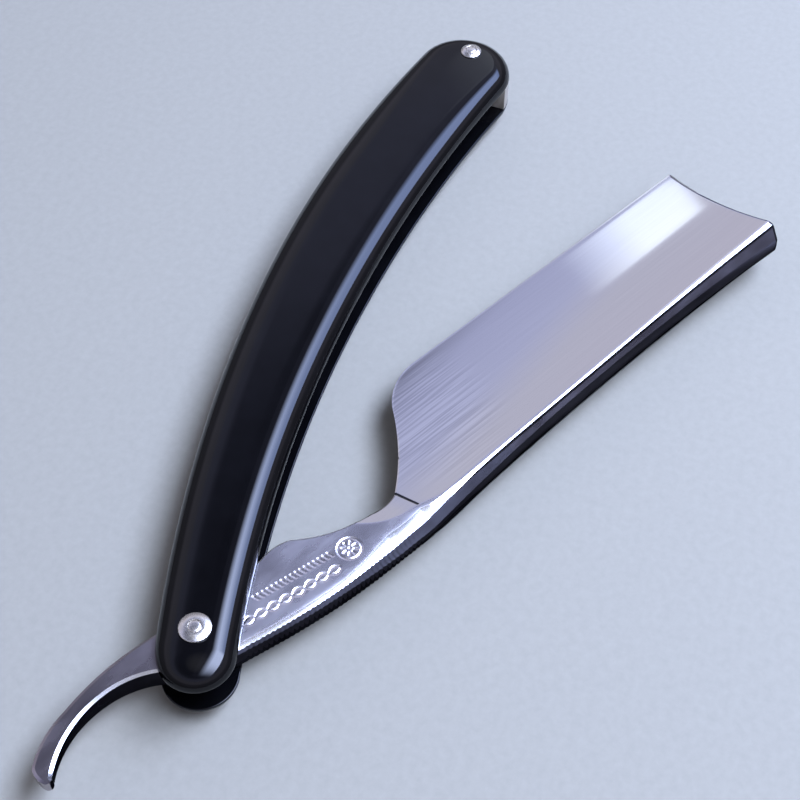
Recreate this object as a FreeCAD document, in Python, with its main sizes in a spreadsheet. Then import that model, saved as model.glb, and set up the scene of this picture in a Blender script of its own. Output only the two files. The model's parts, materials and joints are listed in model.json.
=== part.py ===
"""Straight razor: a hollow-ground blade that folds between two scales.

Frame, in millimetres. The origin is on the pivot pin's axis, on the surface that the razor lies on.
+X runs along the handle, from the pivot pin to the wedge pin. +Z is up, along both pins. The handle's
mouth, which the blade leaves, is on -Y, and its rounded back is on +Y.
The blade has a frame of its own: x along the cutting edge, y from the spine towards the edge, z up from
the mid-plane. It is turned about the pivot by rest_angle.
"""
import FreeCAD, Part
import Sketcher
import math
import os

DOC = FreeCAD.newDocument("straight_razor")

# ---------------------------------------------------------------- driving dimensions

DIMENSIONS = {
    # handle, measured from the pivot pin
    "pin_span": (135.0, "pivot pin to wedge pin"),
    "crown_x": (75.0, "highest point of the rounded back"),
    "crown_y": (17.05, ""),
    "mouth_x": (57.0, "highest point of the hollow mouth edge"),
    "mouth_y": (0.3, ""),
    "back_bend_pivot": (265.0, "radius of the back, from the pivot end to the crown"),
    "back_bend_wedge": (226.0, "radius of the back, from the crown to the wedge end"),
    "mouth_bend_pivot": (245.0, "radius of the mouth edge, pivot side"),
    "mouth_bend_wedge": (300.0, "radius of the mouth edge, wedge side"),
    "wedge_end_centre": (131.1, "centre of the round wedge end"),
    "pivot_end_upper": (10.5, "radius of the pivot end, back side"),
    "pivot_end_lower": (5.8, "radius of the pivot end, mouth side"),
    "pivot_end_reach": (8.6, "pivot pin to the tip of the pivot end"),
    "scale_thick": (3.2, "thickness of one scale"),
    "scale_round": (1.9, "rounding of a scale's outer edge"),
    "slot_gap": (5.0, "gap between the scales"),
    "wedge_front": (130.2, "radius about the pivot of the wedge's hollow front"),
    # pins and washers
    "pin_radius": (0.8, "both pins"),
    "head_radius": (1.05, "peened pin head"),
    "head_rise": (0.7, "outer face of a scale to the top of a pin head"),
    "head_thick": (0.28, ""),
    "pivot_collar_radius": (2.45, ""),
    "wedge_collar_radius": (2.0, ""),
    "collar_rim": (0.14, "thickness of a collar at its rim"),
    "collar_thick": (0.6, "thickness of a collar at the pin head"),
    "collar_dome": (3.0, "radius of a collar's domed face, in section"),
    "tang_washer_radius": (2.9, ""),
    "tang_washer_thick": (0.35, ""),
    "tang_play": (0.05, "clearance between a tang washer and the tang"),
    "bore_play": (0.05, "radial clearance of the blade on the pivot pin"),
    # blade
    "rest_angle": (27.93, "angle from the handle's axis to the blade's axis as stored"),
    "spine_half": (2.75, "half the thickness of the spine"),
    "shoulder_half": (2.5, "half the thickness of the shank at the shoulder"),
    "tang_far_x": (8.0, "end of the parallel tang, shank side"),
    "tang_near_x": (-5.0, "end of the parallel tang, tail side"),
    "tail_half": (1.1, "half the thickness of the tail's tip"),
    "spine_full_x": (44.0, "where the spine reaches its full thickness"),
    "hone_y": (-5.2, "line where the hollow grind meets the spine"),
    "bevel_slope": (19.0, "angle of the bevel along the spine"),
    "edge_half": (0.12, "half the thickness of the cutting edge"),
    "grind_start": (23.0, "where the grinding wheel's rounded corner begins"),
    "grind_corner": (14.0, "radius of the grinding wheel's corner"),
}

# The blade's outline, counter-clockwise from the toe: a corner's name, its x and y, and the radius of the
# arc from it to the next corner. A minus sign hollows the arc into the steel, and 0 is a straight line.
BLADE_CORNERS = [
    ("toe", 126.3, 17.4, 0),
    ("heel_top", 60.3, 17.4, 11.5),
    ("heel_side", 50.6, 12.6, -55.0),
    ("shoulder", 38.3, -0.9, -8.0),
    ("neck", 33.2, -1.1, -21.0),
    ("hump_outer", 21.0, 3.8, 8.0),
    ("hump_inner", 15.4, 4.2, -100.0),
    ("tang_top", -3.9, 5.0, 44.0),
    ("tail_top", -20.7, 4.4, 15.0),
    ("tail_curl", -28.9, 0.6, 4.0),
    ("tail_tip_outer", -29.0, -2.3, 0.75),
    ("tail_tip_inner", -27.6, -2.4, -16.5),
    ("tail_under", -15.5, 2.4, -14.5),
    ("tang_under", -7.1, -0.3, 45.0),
    ("shank_back", 2.3, -5.6, 140.0),
    ("spine_heel", 42.0, -9.2, -600.0),
    ("spine_toe", 125.0, -8.1, 3.2),
    ("nose", 127.6, -5.2, -80.0),
]


def make_sheet():
    """Puts every driving dimension in the sheet, one row each, under its alias."""
    sheet = DOC.addObject("Spreadsheet::Sheet", "Dims")
    rows = [(alias, value, note) for alias, (value, note) in DIMENSIONS.items()]
    for name, x, y, bend in BLADE_CORNERS:
        rows.append((name + "_x", x, "blade outline"))
        rows.append((name + "_y", y, ""))
        if bend:
            rows.append((name + "_bend", abs(bend), ""))
    for row, (alias, value, note) in enumerate(rows, start=1):
        sheet.set(f"A{row}", alias)
        sheet.set(f"B{row}", str(value))
        sheet.setAlias(f"B{row}", alias)
        sheet.set(f"C{row}", note)
    DOC.recompute()
    return sheet


SHEET = make_sheet()


def size(alias):
    """Reads a driving dimension from the sheet."""
    return float(getattr(SHEET, alias))


# ---------------------------------------------------------------- sketch helpers

START, END, CENTRE = 1, 2, 3
ORIGIN = (-1, 1)


def new_body(label):
    body = DOC.addObject("PartDesign::Body", label)
    body.Label = label
    return body


def new_sketch(body, name, role="XY_Plane", offset=None):
    """Adds a sketch on one of the body's origin planes, moved along its normal by an expression."""
    sketch = body.newObject("Sketcher::SketchObject", name)
    plane = [feature for feature in body.Origin.OriginFeatures if feature.Role == role][0]
    sketch.AttachmentSupport = [(plane, "")]
    sketch.MapMode = "FlatFace"
    if offset:
        sketch.setExpression("AttachmentOffset.Base.z", offset)
    DOC.recompute()
    return sketch


def bind(sketch, constraint, expression):
    """Adds a constraint and drives it with an expression."""
    index = sketch.addConstraint(constraint)
    sketch.setExpression(f"Constraints[{index}]", expression)


def pin_point(sketch, geometry, where, x_expression, y_expression):
    """Ties a point of a sketch to a place given by two expressions."""
    for kind, expression in (("DistanceX", x_expression), ("DistanceY", y_expression)):
        if expression is not None:
            value = float(sketch.evalExpression(expression))
            bind(sketch, Sketcher.Constraint(kind, *ORIGIN, geometry, where, value), expression)


def arc_between(first, last, bend):
    """An arc from first to last that turns left when bend is positive and right when it is negative."""
    chord = last - first
    radius = abs(bend)
    rise = math.sqrt(max(radius ** 2 - (chord.Length / 2) ** 2, 0.0))
    left = FreeCAD.Vector(-chord.y, chord.x, 0).normalize()
    centre = (first + last) / 2 + left * math.copysign(rise, bend)
    circle = Part.Circle(centre, FreeCAD.Vector(0, 0, 1), radius)
    ends = (first, last) if bend > 0 else (last, first)
    angles = [math.atan2(point.y - centre.y, point.x - centre.x) for point in ends]
    return Part.ArcOfCircle(circle, *angles)


def add_chain(sketch, corners):
    """Adds a closed chain of lines and arcs. Returns each piece's number and its first and last point."""
    pieces = []
    for (x, y, bend), (next_x, next_y, _) in zip(corners, corners[1:] + corners[:1]):
        first, last = FreeCAD.Vector(x, y, 0), FreeCAD.Vector(next_x, next_y, 0)
        if bend == 0:
            pieces.append((sketch.addGeometry(Part.LineSegment(first, last)), START, END))
        elif bend > 0:
            pieces.append((sketch.addGeometry(arc_between(first, last, bend)), START, END))
        else:
            pieces.append((sketch.addGeometry(arc_between(first, last, bend)), END, START))
    return pieces


def pinned_loop(sketch, corners):
    """A closed outline whose corners all have a place. corners holds (x, y, bend) as expressions."""
    numbers = [tuple(float(sketch.evalExpression(item)) for item in corner) for corner in corners]
    pieces = add_chain(sketch, numbers)
    for index, (x, y, bend) in enumerate(corners):
        geometry, first, last = pieces[index]
        before, _, before_last = pieces[index - 1]
        sketch.addConstraint(Sketcher.Constraint("Coincident", before, before_last, geometry, first))
        pin_point(sketch, geometry, first, x, y)
        if numbers[index][2]:
            radius = abs(numbers[index][2])
            bind(sketch, Sketcher.Constraint("Radius", geometry, radius), bend.lstrip("-"))
    return pieces


def polygon(sketch, corners):
    """A closed outline of straight lines. corners holds (x, y) as expressions."""
    pinned_loop(sketch, [(x, y, "0") for x, y in corners])


def axis_along(sketch, piece):
    """Adds a construction line along a straight piece of the sketch, to turn the sketch about."""
    geometry, _, _ = piece
    line = sketch.Geometry[geometry]
    axis = sketch.addGeometry(Part.LineSegment(line.StartPoint, line.EndPoint), True)
    for where in (START, END):
        sketch.addConstraint(Sketcher.Constraint("Coincident", geometry, where, axis, where))


def hole_circle(sketch, x_expression, radius_expression):
    """A circle on the sketch's x axis."""
    place = FreeCAD.Vector(float(sketch.evalExpression(x_expression)), 0, 0)
    radius = float(sketch.evalExpression(radius_expression))
    circle = sketch.addGeometry(Part.Circle(place, FreeCAD.Vector(0, 0, 1), radius))
    pin_point(sketch, circle, CENTRE, x_expression, "0")
    bind(sketch, Sketcher.Constraint("Radius", circle, radius), radius_expression)


# ---------------------------------------------------------------- feature helpers


def pad(body, sketch, name, length, outward=1):
    feature = body.newObject("PartDesign::Pad", name)
    feature.Profile = sketch
    feature.Reversed = outward < 0
    feature.setExpression("Length", length)
    DOC.recompute()
    return feature


def cut_through(body, sketch, name):
    """Cuts the sketch right through the body, both ways from the sketch's plane."""
    feature = body.newObject("PartDesign::Pocket", name)
    feature.Profile = sketch
    feature.Type = "ThroughAll"
    feature.SideType = "Symmetric"
    before = body.Shape.Volume
    DOC.recompute()
    if body.Shape.Volume >= before:
        raise RuntimeError(name + " cuts nothing")


def turn(body, sketch, name):
    """Revolves a sketch on the XZ plane about its upright axis."""
    feature = body.newObject("PartDesign::Revolution", name)
    feature.Profile = sketch
    feature.ReferenceAxis = (sketch, ["V_Axis"])
    feature.Angle = 360.0
    DOC.recompute()


# ---------------------------------------------------------------- handle

MID_HEIGHT = "Dims.head_rise + Dims.scale_thick + Dims.slot_gap / 2"


def raise_to_middle(body):
    """Lifts a body modelled about the mid-plane so that the lower pin heads rest at z = 0."""
    body.setExpression("Placement.Base.z", MID_HEIGHT)


def handle_outline(sketch):
    """The outline that both scales and the wedge share: seven arcs, each tangent to the next."""
    wedge_bend, lower_bend = size("crown_y") / 2, size("pivot_end_lower")
    reach, crown_x, mouth_x = size("pivot_end_reach"), size("crown_x"), size("mouth_x")
    guesses = [
        (crown_x, size("crown_y"), size("back_bend_pivot")),
        (0.2 * lower_bend, 0.36 * size("crown_y"), size("pivot_end_upper")),
        (-reach, -0.1 * lower_bend, lower_bend),
        (-0.5 * lower_bend, -1.25 * lower_bend, -size("mouth_bend_pivot")),
        (mouth_x, size("mouth_y"), -size("mouth_bend_wedge")),
        (size("pin_span") - 0.55 * wedge_bend, -0.95 * wedge_bend, wedge_bend),
        (size("pin_span") - 0.45 * wedge_bend, 1.13 * wedge_bend, size("back_bend_wedge")),
    ]
    radii = ["back_bend_pivot", "pivot_end_upper", "pivot_end_lower", "mouth_bend_pivot",
             "mouth_bend_wedge", None, "back_bend_wedge"]
    pieces = add_chain(sketch, guesses)
    for index, (geometry, first, _) in enumerate(pieces):
        before, _, before_last = pieces[index - 1]
        sketch.addConstraint(Sketcher.Constraint("Tangent", before, before_last, geometry, first))
    back, lower, mouth_pivot, mouth_wedge, wedge_end = (pieces[index] for index in (0, 2, 3, 4, 5))
    pin_point(sketch, back[0], back[1], "Dims.crown_x", "Dims.crown_y")
    pin_point(sketch, back[0], CENTRE, "Dims.crown_x", None)
    pin_point(sketch, mouth_wedge[0], mouth_wedge[1], "Dims.mouth_x", "Dims.mouth_y")
    pin_point(sketch, mouth_pivot[0], CENTRE, "Dims.mouth_x", None)
    pin_point(sketch, lower[0], CENTRE, "Dims.pivot_end_lower - Dims.pivot_end_reach", None)
    pin_point(sketch, wedge_end[0], CENTRE, "Dims.wedge_end_centre", None)
    for (geometry, _, _), alias in zip(pieces, radii):
        if alias:
            bind(sketch, Sketcher.Constraint("Radius", geometry, size(alias)), "Dims." + alias)


def make_scale(label, outward):
    """One scale: a slab with a rounded outer edge, and a hole for each pin."""
    body = new_body(label)
    sketch = new_sketch(body, label + "_outline", offset=f"{outward} * Dims.slot_gap / 2")
    handle_outline(sketch)
    slab = pad(body, sketch, label + "_slab", "Dims.scale_thick", outward)
    outer = max(range(len(slab.Shape.Faces)), key=lambda i: outward * slab.Shape.Faces[i].CenterOfMass.z)
    rounded = body.newObject("PartDesign::Fillet", label + "_rounding")
    rounded.Base = (slab, [f"Face{outer + 1}"])
    rounded.setExpression("Radius", "Dims.scale_round")
    DOC.recompute()
    holes = new_sketch(body, label + "_pin_holes")
    hole_circle(holes, "0", "Dims.pin_radius")
    hole_circle(holes, "Dims.pin_span", "Dims.pin_radius")
    cut_through(body, holes, label + "_holes")
    raise_to_middle(body)
    return body


def make_wedge():
    """The spacer at the far end: the handle's outline, with a front hollowed about the pivot."""
    body = new_body("wedge")
    sketch = new_sketch(body, "wedge_outline", offset="-Dims.slot_gap / 2")
    handle_outline(sketch)
    pad(body, sketch, "wedge_block", "Dims.slot_gap")
    front = new_sketch(body, "wedge_front_circle")
    hole_circle(front, "0", "Dims.wedge_front")
    cut_through(body, front, "wedge_hollow_front")
    hole = new_sketch(body, "wedge_pin_hole")
    hole_circle(hole, "Dims.pin_span", "Dims.pin_radius")
    cut_through(body, hole, "wedge_hole")
    raise_to_middle(body)
    return body


# ---------------------------------------------------------------- pins and washers

OUTER_FACE = "(Dims.slot_gap / 2 + Dims.scale_thick)"


def make_pin(label, x_expression):
    """A pin with a peened head at each end."""
    body = new_body(label)
    sketch = new_sketch(body, label + "_profile", "XZ_Plane")
    top = f"({OUTER_FACE} + Dims.head_rise)"
    neck = f"({top} - Dims.head_thick)"
    polygon(sketch, [
        ("0", f"-{top}"), ("Dims.head_radius", f"-{top}"),
        ("Dims.head_radius", f"-{neck}"), ("Dims.pin_radius", f"-{neck}"),
        ("Dims.pin_radius", neck), ("Dims.head_radius", neck),
        ("Dims.head_radius", top), ("0", top),
    ])
    turn(body, sketch, label + "_turned")
    body.setExpression("Placement.Base.x", x_expression)
    raise_to_middle(body)
    return body


def make_collar(label, x_expression, radius, outward):
    """A domed washer under a pin head, with a seat for the head."""
    body = new_body(label)
    sketch = new_sketch(body, label + "_profile", "XZ_Plane")
    seat = "(Dims.head_rise - Dims.head_thick)"

    def level(height):
        return f"{outward} * ({OUTER_FACE} + {height})"

    dome = "Dims.collar_dome" if outward > 0 else "-Dims.collar_dome"
    pinned_loop(sketch, [
        ("Dims.pin_radius", level("0"), "0"), (f"Dims.{radius}", level("0"), "0"),
        (f"Dims.{radius}", level("Dims.collar_rim"), dome),
        ("Dims.head_radius", level("Dims.collar_thick"), "0"), ("Dims.head_radius", level(seat), "0"),
        ("Dims.pin_radius", level(seat), "0"),
    ])
    turn(body, sketch, label + "_turned")
    body.setExpression("Placement.Base.x", x_expression)
    raise_to_middle(body)
    return body


def make_tang_washer(label, outward):
    """A flat ring between the tang and a scale."""
    disc = DOC.addObject("Part::Cylinder", label + "_disc")
    disc.setExpression("Radius", "Dims.tang_washer_radius")
    bore = DOC.addObject("Part::Cylinder", label + "_bore")
    bore.setExpression("Radius", "Dims.pin_radius")
    for solid in (disc, bore):
        solid.setExpression("Height", "Dims.tang_washer_thick")
    ring = DOC.addObject("Part::Cut", label)
    ring.Base, ring.Tool = disc, bore
    ring.Label = label
    inner = "Dims.slot_gap / 2 - Dims.tang_washer_thick" if outward > 0 else "-Dims.slot_gap / 2"
    ring.setExpression("Placement.Base.z", f"{MID_HEIGHT} + {inner}")
    return ring


# ---------------------------------------------------------------- blade

FAR = "200"  # past the toe and the edge
OVER = "1"  # how far a cut starts outside the steel


def make_blade():
    """The forged blade: outline, thickness from tail to toe, hollow grind, spine bevels and pivot hole."""
    body = new_body("blade")
    outline = new_sketch(body, "blade_outline", offset="-Dims.spine_half")
    pinned_loop(outline, [
        (f"Dims.{name}_x", f"Dims.{name}_y", signed_bend(name, bend)) for name, _, _, bend in BLADE_CORNERS
    ])
    pad(body, outline, "blade_blank", "2 * Dims.spine_half")
    thin_the_shank(body)
    for side in (1, -1):
        grind_hollow(body, side)
    bevel_spine(body)
    bore = new_sketch(body, "pivot_bore_circle")
    hole_circle(bore, "0", "(Dims.pin_radius + Dims.bore_play)")
    cut_through(body, bore, "pivot_bore")
    body.Placement = FreeCAD.Placement(
        FreeCAD.Vector(0, 0, 0), FreeCAD.Rotation(FreeCAD.Vector(0, 0, 1), -size("rest_angle")))
    body.setExpression("Placement.Rotation.Angle", "-Dims.rest_angle")
    raise_to_middle(body)
    return body


def signed_bend(name, bend):
    """The expression for the arc after a corner of the blade's outline."""
    if bend == 0:
        return "0"
    return ("-" if bend < 0 else "") + f"Dims.{name}_bend"


def thin_the_shank(body):
    """Cuts the shank, tang and tail to their thickness, seen from the side."""
    sketch = new_sketch(body, "side_profile", "XZ_Plane")
    tang_half = "(Dims.slot_gap / 2 - Dims.tang_washer_thick - Dims.tang_play)"
    profile = [
        (f"Dims.tail_curl_x - {OVER}", "Dims.tail_half"), ("Dims.tang_near_x", tang_half),
        ("Dims.tang_far_x", tang_half), ("Dims.shoulder_x", "Dims.shoulder_half"),
        ("Dims.spine_full_x", "Dims.spine_half"),
    ]
    for side in ("", "-"):
        corners = [(x, side + half) for x, half in profile]
        clear = f"{side}(Dims.spine_half + {OVER})"
        polygon(sketch, corners + [(profile[-1][0], clear), (profile[0][0], clear)])
    cut_through(body, sketch, "shank_thickness")


def grind_hollow(body, side):
    """One side's hollow grind: a large wheel, its axis along the blade, that just meets the edge."""
    depth = "(Dims.spine_half - Dims.edge_half)"
    wheel = f"(((Dims.toe_y - Dims.hone_y) ^ 2 + {depth} ^ 2) / (2 * {depth}))"
    name = "upper" if side > 0 else "lower"
    sketch = new_sketch(body, f"{name}_wheel", "XZ_Plane", offset="-Dims.toe_y")
    sign = "" if side > 0 else "-"
    axis_height = f"{sign}(Dims.edge_half + {wheel})"
    low = f"{sign}Dims.edge_half"
    corner = f"{sign}(Dims.edge_half + Dims.grind_corner)"
    pieces = pinned_loop(sketch, [
        ("Dims.grind_start", corner, sign + "Dims.grind_corner"),
        ("Dims.grind_start + Dims.grind_corner", low, "0"),
        (FAR, low, "0"), (FAR, axis_height, "0"), ("Dims.grind_start", axis_height, "0"),
    ])
    axis_along(sketch, pieces[3])
    groove = body.newObject("PartDesign::Groove", f"{name}_hollow")
    groove.Profile = sketch
    groove.ReferenceAxis = (sketch, ["Axis0"])
    groove.Angle = 360.0
    before = body.Shape.Volume
    DOC.recompute()
    if body.Shape.Volume >= before:
        raise RuntimeError(groove.Name + " cuts nothing")


def bevel_spine(body):
    """The long bevel along each side of the spine and the shank's back."""
    sketch = new_sketch(body, "bevel_profile", "YZ_Plane")
    reach = "8"
    drop = f"({reach} * tan(Dims.bevel_slope))"
    for side in ("", "-"):
        polygon(sketch, [
            ("Dims.hone_y", f"{side}Dims.spine_half"),
            (f"Dims.hone_y - {reach}", f"{side}(Dims.spine_half - {drop})"),
            (f"Dims.hone_y - {reach}", f"{side}(Dims.spine_half + {OVER})"),
            ("Dims.hone_y", f"{side}(Dims.spine_half + {OVER})"),
        ])
    cut_through(body, sketch, "spine_bevels")


# ---------------------------------------------------------------- assembly and export


def make_razor():
    nodes = [make_scale("front_scale", 1), make_scale("back_scale", -1), make_wedge()]
    nodes.append(make_pin("pivot_pin", "0"))
    nodes.append(make_pin("wedge_pin", "Dims.pin_span"))
    for side, outward in (("front", 1), ("back", -1)):
        nodes.append(make_collar(f"{side}_pivot_collar", "0", "pivot_collar_radius", outward))
        nodes.append(make_collar(f"{side}_wedge_collar", "Dims.pin_span", "wedge_collar_radius", outward))
        nodes.append(make_tang_washer(f"{side}_tang_washer", outward))
    nodes.append(make_blade())
    return nodes


def check(nodes):
    """Stops on any failed feature or bad solid."""
    DOC.recompute()
    for feature in DOC.Objects:
        if "Invalid" in feature.State or "Error" in feature.State:
            raise RuntimeError(f"{feature.Name}: {feature.State}")
    for node in nodes:
        if node.Shape.isNull() or not node.Shape.isValid() or len(node.Shape.Solids) != 1:
            raise RuntimeError(node.Label + " is not one valid solid")


def export(nodes):
    os.makedirs("parts", exist_ok=True)
    for node in nodes:
        node.Shape.exportStep(f"parts/{node.Label}.step")
        print(node.Label, "volume", round(node.Shape.Volume, 2), "mm3")


razor = make_razor()
check(razor)
export(razor)
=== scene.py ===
"""Straight razor, half open: the looks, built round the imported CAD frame.

Shapes are worked out in millimetres. The handle's are in the object's frame. The blade's are in its own:
x along the cutting edge, y from the spine towards the edge, z up from the mid-plane between the scales.
"""
import json
import math

import bmesh
import bpy
import numpy as np
from mathutils import Matrix, Quaternion, Vector


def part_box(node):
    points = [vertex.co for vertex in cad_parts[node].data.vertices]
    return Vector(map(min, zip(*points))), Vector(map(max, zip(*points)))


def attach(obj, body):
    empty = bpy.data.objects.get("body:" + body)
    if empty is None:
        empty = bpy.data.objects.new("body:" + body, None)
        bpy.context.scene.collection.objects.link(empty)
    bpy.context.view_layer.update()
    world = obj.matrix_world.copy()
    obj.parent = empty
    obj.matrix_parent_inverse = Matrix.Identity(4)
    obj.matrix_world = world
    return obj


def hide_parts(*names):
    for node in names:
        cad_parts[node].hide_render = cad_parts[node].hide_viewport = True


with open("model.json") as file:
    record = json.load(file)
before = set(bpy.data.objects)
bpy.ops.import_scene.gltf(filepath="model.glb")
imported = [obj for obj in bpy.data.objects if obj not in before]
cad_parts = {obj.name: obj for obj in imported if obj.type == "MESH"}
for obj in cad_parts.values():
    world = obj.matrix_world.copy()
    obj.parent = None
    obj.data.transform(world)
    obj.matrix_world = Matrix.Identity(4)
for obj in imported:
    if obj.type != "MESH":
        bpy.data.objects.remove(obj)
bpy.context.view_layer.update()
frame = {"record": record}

MM = 0.001

# ---------------------------------------------------------------- sizes, in millimetres

REST_ANGLE = math.radians(27.93)
PIN_SPAN = frame["record"]["mounts"][1]["pos_m"][0] / MM
SCALE_LOW, SCALE_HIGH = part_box("front_scale")
MID_HEIGHT = (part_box("blade")[0].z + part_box("blade")[1].z) / 2 / MM
SLOT_HALF = SCALE_LOW.z / MM - MID_HEIGHT
SCALE_THICK = (SCALE_HIGH.z - SCALE_LOW.z) / MM
COLLAR_LIFT = (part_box("front_pivot_collar")[1].z - SCALE_HIGH.z) / MM
HEAD_LIFT = (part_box("pivot_pin")[1].z - SCALE_HIGH.z) / MM

# The handle's outline: crown of the back, highest point of the mouth, and the radii that leave them.
CROWN = (75.0, 17.05)
MOUTH = (57.0, 0.3)
BACK_BENDS = (265.0, 226.0)
MOUTH_BENDS = (245.0, 300.0)
PIVOT_END_UPPER = 10.5
PIVOT_END_LOWER = 5.8
PIVOT_END_REACH = 8.6
WEDGE_END_CENTRE = 131.1
WEDGE_FRONT = 130.2
# Arcs longer than this in radius belong to the back and the mouth.
LONG_RADIUS = 100
# The rounding of a scale's edge. It narrows by a share towards the wedge's end, between two places.
EDGE_ROUND_WIDE = 5.6
EDGE_ROUND_DEEP = 3.0
EDGE_NARROWING = 0.42
NARROWING_RUN = (104, 139)
# The pins and their holes in the scales, and how high the underside of a head is over the scale.
PIN_HOLE_RADIUS = 0.95
PIN_RADIUS = 0.8
HEAD_UNDERSIDE = 0.34

# The blade's outline: a corner's name, its place, and the radius of the arc that follows it. 0 is a
# straight line, and minus is hollow.
BLADE_CORNERS = [
    ("toe", 126.3, 17.4, 0),
    ("heel_top", 60.3, 17.4, 11.5),
    ("heel_side", 50.6, 12.6, -55.0),
    ("shoulder", 38.3, -0.9, -8.0),
    ("neck", 33.2, -1.1, -21.0),
    ("hump_outer", 21.0, 3.8, 8.0),
    ("hump_inner", 15.4, 4.2, -100.0),
    ("tang_top", -3.9, 5.0, 44.0),
    ("tail_top", -20.7, 4.4, 15.0),
    ("tail_curl", -28.9, 0.6, 4.0),
    ("tail_tip_outer", -29.0, -2.3, 0.75),
    ("tail_tip_inner", -27.6, -2.4, -16.5),
    ("tail_under", -15.5, 2.4, -14.5),
    ("tang_under", -7.1, -0.3, 45.0),
    ("shank_back", 2.3, -5.6, 140.0),
    ("spine_heel", 42.0, -9.2, -750.0),
    ("spine_toe", 125.0, -8.1, 3.2),
    ("nose", 127.6, -5.2, -80.0),
]
NOSE_X = 127.6
EDGE_Y = 17.4
# Half the thickness at the edge and at the spine, the curve of the hollow between them, the corner in
# which the hollow runs out at the shoulder, and the slope of the spine's bevel.
EDGE_HALF = 0.06
SPINE_HALF = 2.75
HOLLOW_POWER = 1.9
CORNER_START = 38.0
CORNER_BEND = 48.0
BEVEL_SLOPE = math.tan(math.radians(19.0))
NOSE_CHAMFER = 0.15

# The line scribed across the shoulder: where it starts and ends, its lean, and its section.
SCRIBE_X = 38.6
SCRIBE_END_Y = -5.0
SCRIBE_RUN = 1.3
SCRIBE_HALVES = (0.09, 0.16)
SCRIBE_DEPTH = 0.18
# The thumb notches along the shank's back, and where they fade in and out.
NOTCH_START = 4
NOTCH_PITCH = 0.86
NOTCH_DEPTH = 0.13
NOTCH_FADES = ((3.0, 5.0), (35.5, 37.5))

# Sizes that change along the blade, as (x, value) pairs. First the bevel of its back: how far in from
# the outline its inner and its outer line lie, and how steeply it falls between them.
BEVEL_INNER = [
    (-29, 0.55), (-14, 0.55), (-5, 0.5), (-2, 0.5), (2, 1.2), (5, 1.4), (14, 1.5), (20, 1.65),
    (26, 2.3), (31, 3.3), (35, 4.0), (37, 4.12), (38.3, 3.95), (39.5, 3.45), (41, 2.95), (43.5, 2.6),
]
BEVEL_OUTER = [(-5, 0.02), (2, 0.5), (8, 0.62), (20, 0.8), (28, 1.15), (36, 1.4), (43, 1.6)]
BEVEL_FALL = [
    (-29, 0.34), (2, 0.31), (20, 0.32), (26, 0.3), (31, 0.26), (36, 0.25), (40, 0.27),
    (45, BEVEL_SLOPE), (60, BEVEL_SLOPE),
]
# On the blade the bevel is a narrow facet that starts at the hone line. This is its width.
FACET_WIDTH = [(45, 0.9), (50, 0.5), (55, 0.34), (60, 0.27), (90, 0.29), (110, 0.45), (126, 0.75)]
HONE_INSET = 0.25
# How far in the rounded back starts, and the chamfer along the top edge: its width and its drop.
BACK_INSET = [(-5, 0.01), (2, 0.1), (38, 0.15), (60, 0.6), (90, 0.8), (126, 1.0)]
TOP_WIDTH = [
    (-29, 0.45), (-12, 0.45), (-4, 0.4), (10, 0.25), (33, 0.22), (40, 0.2), (60, 0.3), (126, 0.3),
]
TOP_DROP = [(-29, 0.2), (-12, 0.18), (-4, 0.2), (10, 0.14), (33, 0.12), (40, 0.08), (60, 0.03)]

# The rows of the blade's mesh, counted from mid-height at its back: where the band under the facet is,
# where the wall ends, where the bevel ends, and how many rows cross the face.
BAND_ROW = 2
WALL_ROWS = 4
BACK_ROWS = 6
FACE_ROWS = 72
# Where the finish changes along the blade, and where the crease beside the bevel is soft.
TAIL_END_X = -3
FACET_START_X = 43
BAND_START_X = 58
SOFT_CREASE = (4, 40.5)

# The stamped ornament: the origin and slant of its rows, the rosette's centre, and its depth.
STAMP_ORIGIN = (6.0, -2.6)
STAMP_SLANT = math.radians(-8.6)
ROSETTE_CENTRE = (26.5, -3.6)
STAMP_DEPTH = 0.11

# The finishes of the blade; the wall's and the band's are dark with painted shade. The face has its own
# material. The others are steels, each with a roughness, a darkest and a lightest colour, a strength of
# scratches, and a brightness of grazing reflections.
FACE, SATIN, BEVEL, TARNISH, WALL_PAINTED_SHADE, BAND_PAINTED_SHADE, FACET, TAIL = range(8)
STEELS = {
    SATIN: ("steel_satin", 0.27, (0.67, 0.65, 0.69), (0.77, 0.75, 0.79), 0.012, 1.0),
    BEVEL: ("steel_bevel", 0.16, (0.62, 0.62, 0.63), (0.7, 0.7, 0.71), 0.02, 1.0),
    TARNISH: ("steel_tarnished", 0.55, (0.03, 0.03, 0.035), (0.06, 0.06, 0.065), 0.05, 1.0),
    # Painted shade: the wall's and the band's near-black colours and dim grazing reflections stand in for
    # the dark reflection under the spine.
    WALL_PAINTED_SHADE: ("steel_wall", 0.35, (0.026, 0.025, 0.03), (0.04, 0.039, 0.046), 0.05, 0.2),
    BAND_PAINTED_SHADE: ("steel_band", 0.3, (0.04, 0.037, 0.043), (0.06, 0.056, 0.064), 0.05, 0.3),
    FACET: ("steel_facet", 0.16, (0.31, 0.31, 0.32), (0.35, 0.35, 0.36), 0.06, 1.0),
    TAIL: ("steel_tail", 0.27, (0.36, 0.33, 0.35), (0.46, 0.42, 0.44), 0.035, 1.0),
}

# ---------------------------------------------------------------- studio

# The camera: its place in millimetres, where it looks, and its right-hand side, which is level. The
# floor, the softbox and the window are in metres.
CAMERA_PLACE = (-91.5, -61.9, 201.4)
CAMERA_FORWARD = (0.5833, 0.1971, -0.7880)
CAMERA_RIGHT = (0.3203, -0.9473, 0.0)
CAMERA_LENS = 67.5
SENSOR_WIDTH = 36.0
FLOOR_HALF = 12

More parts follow.
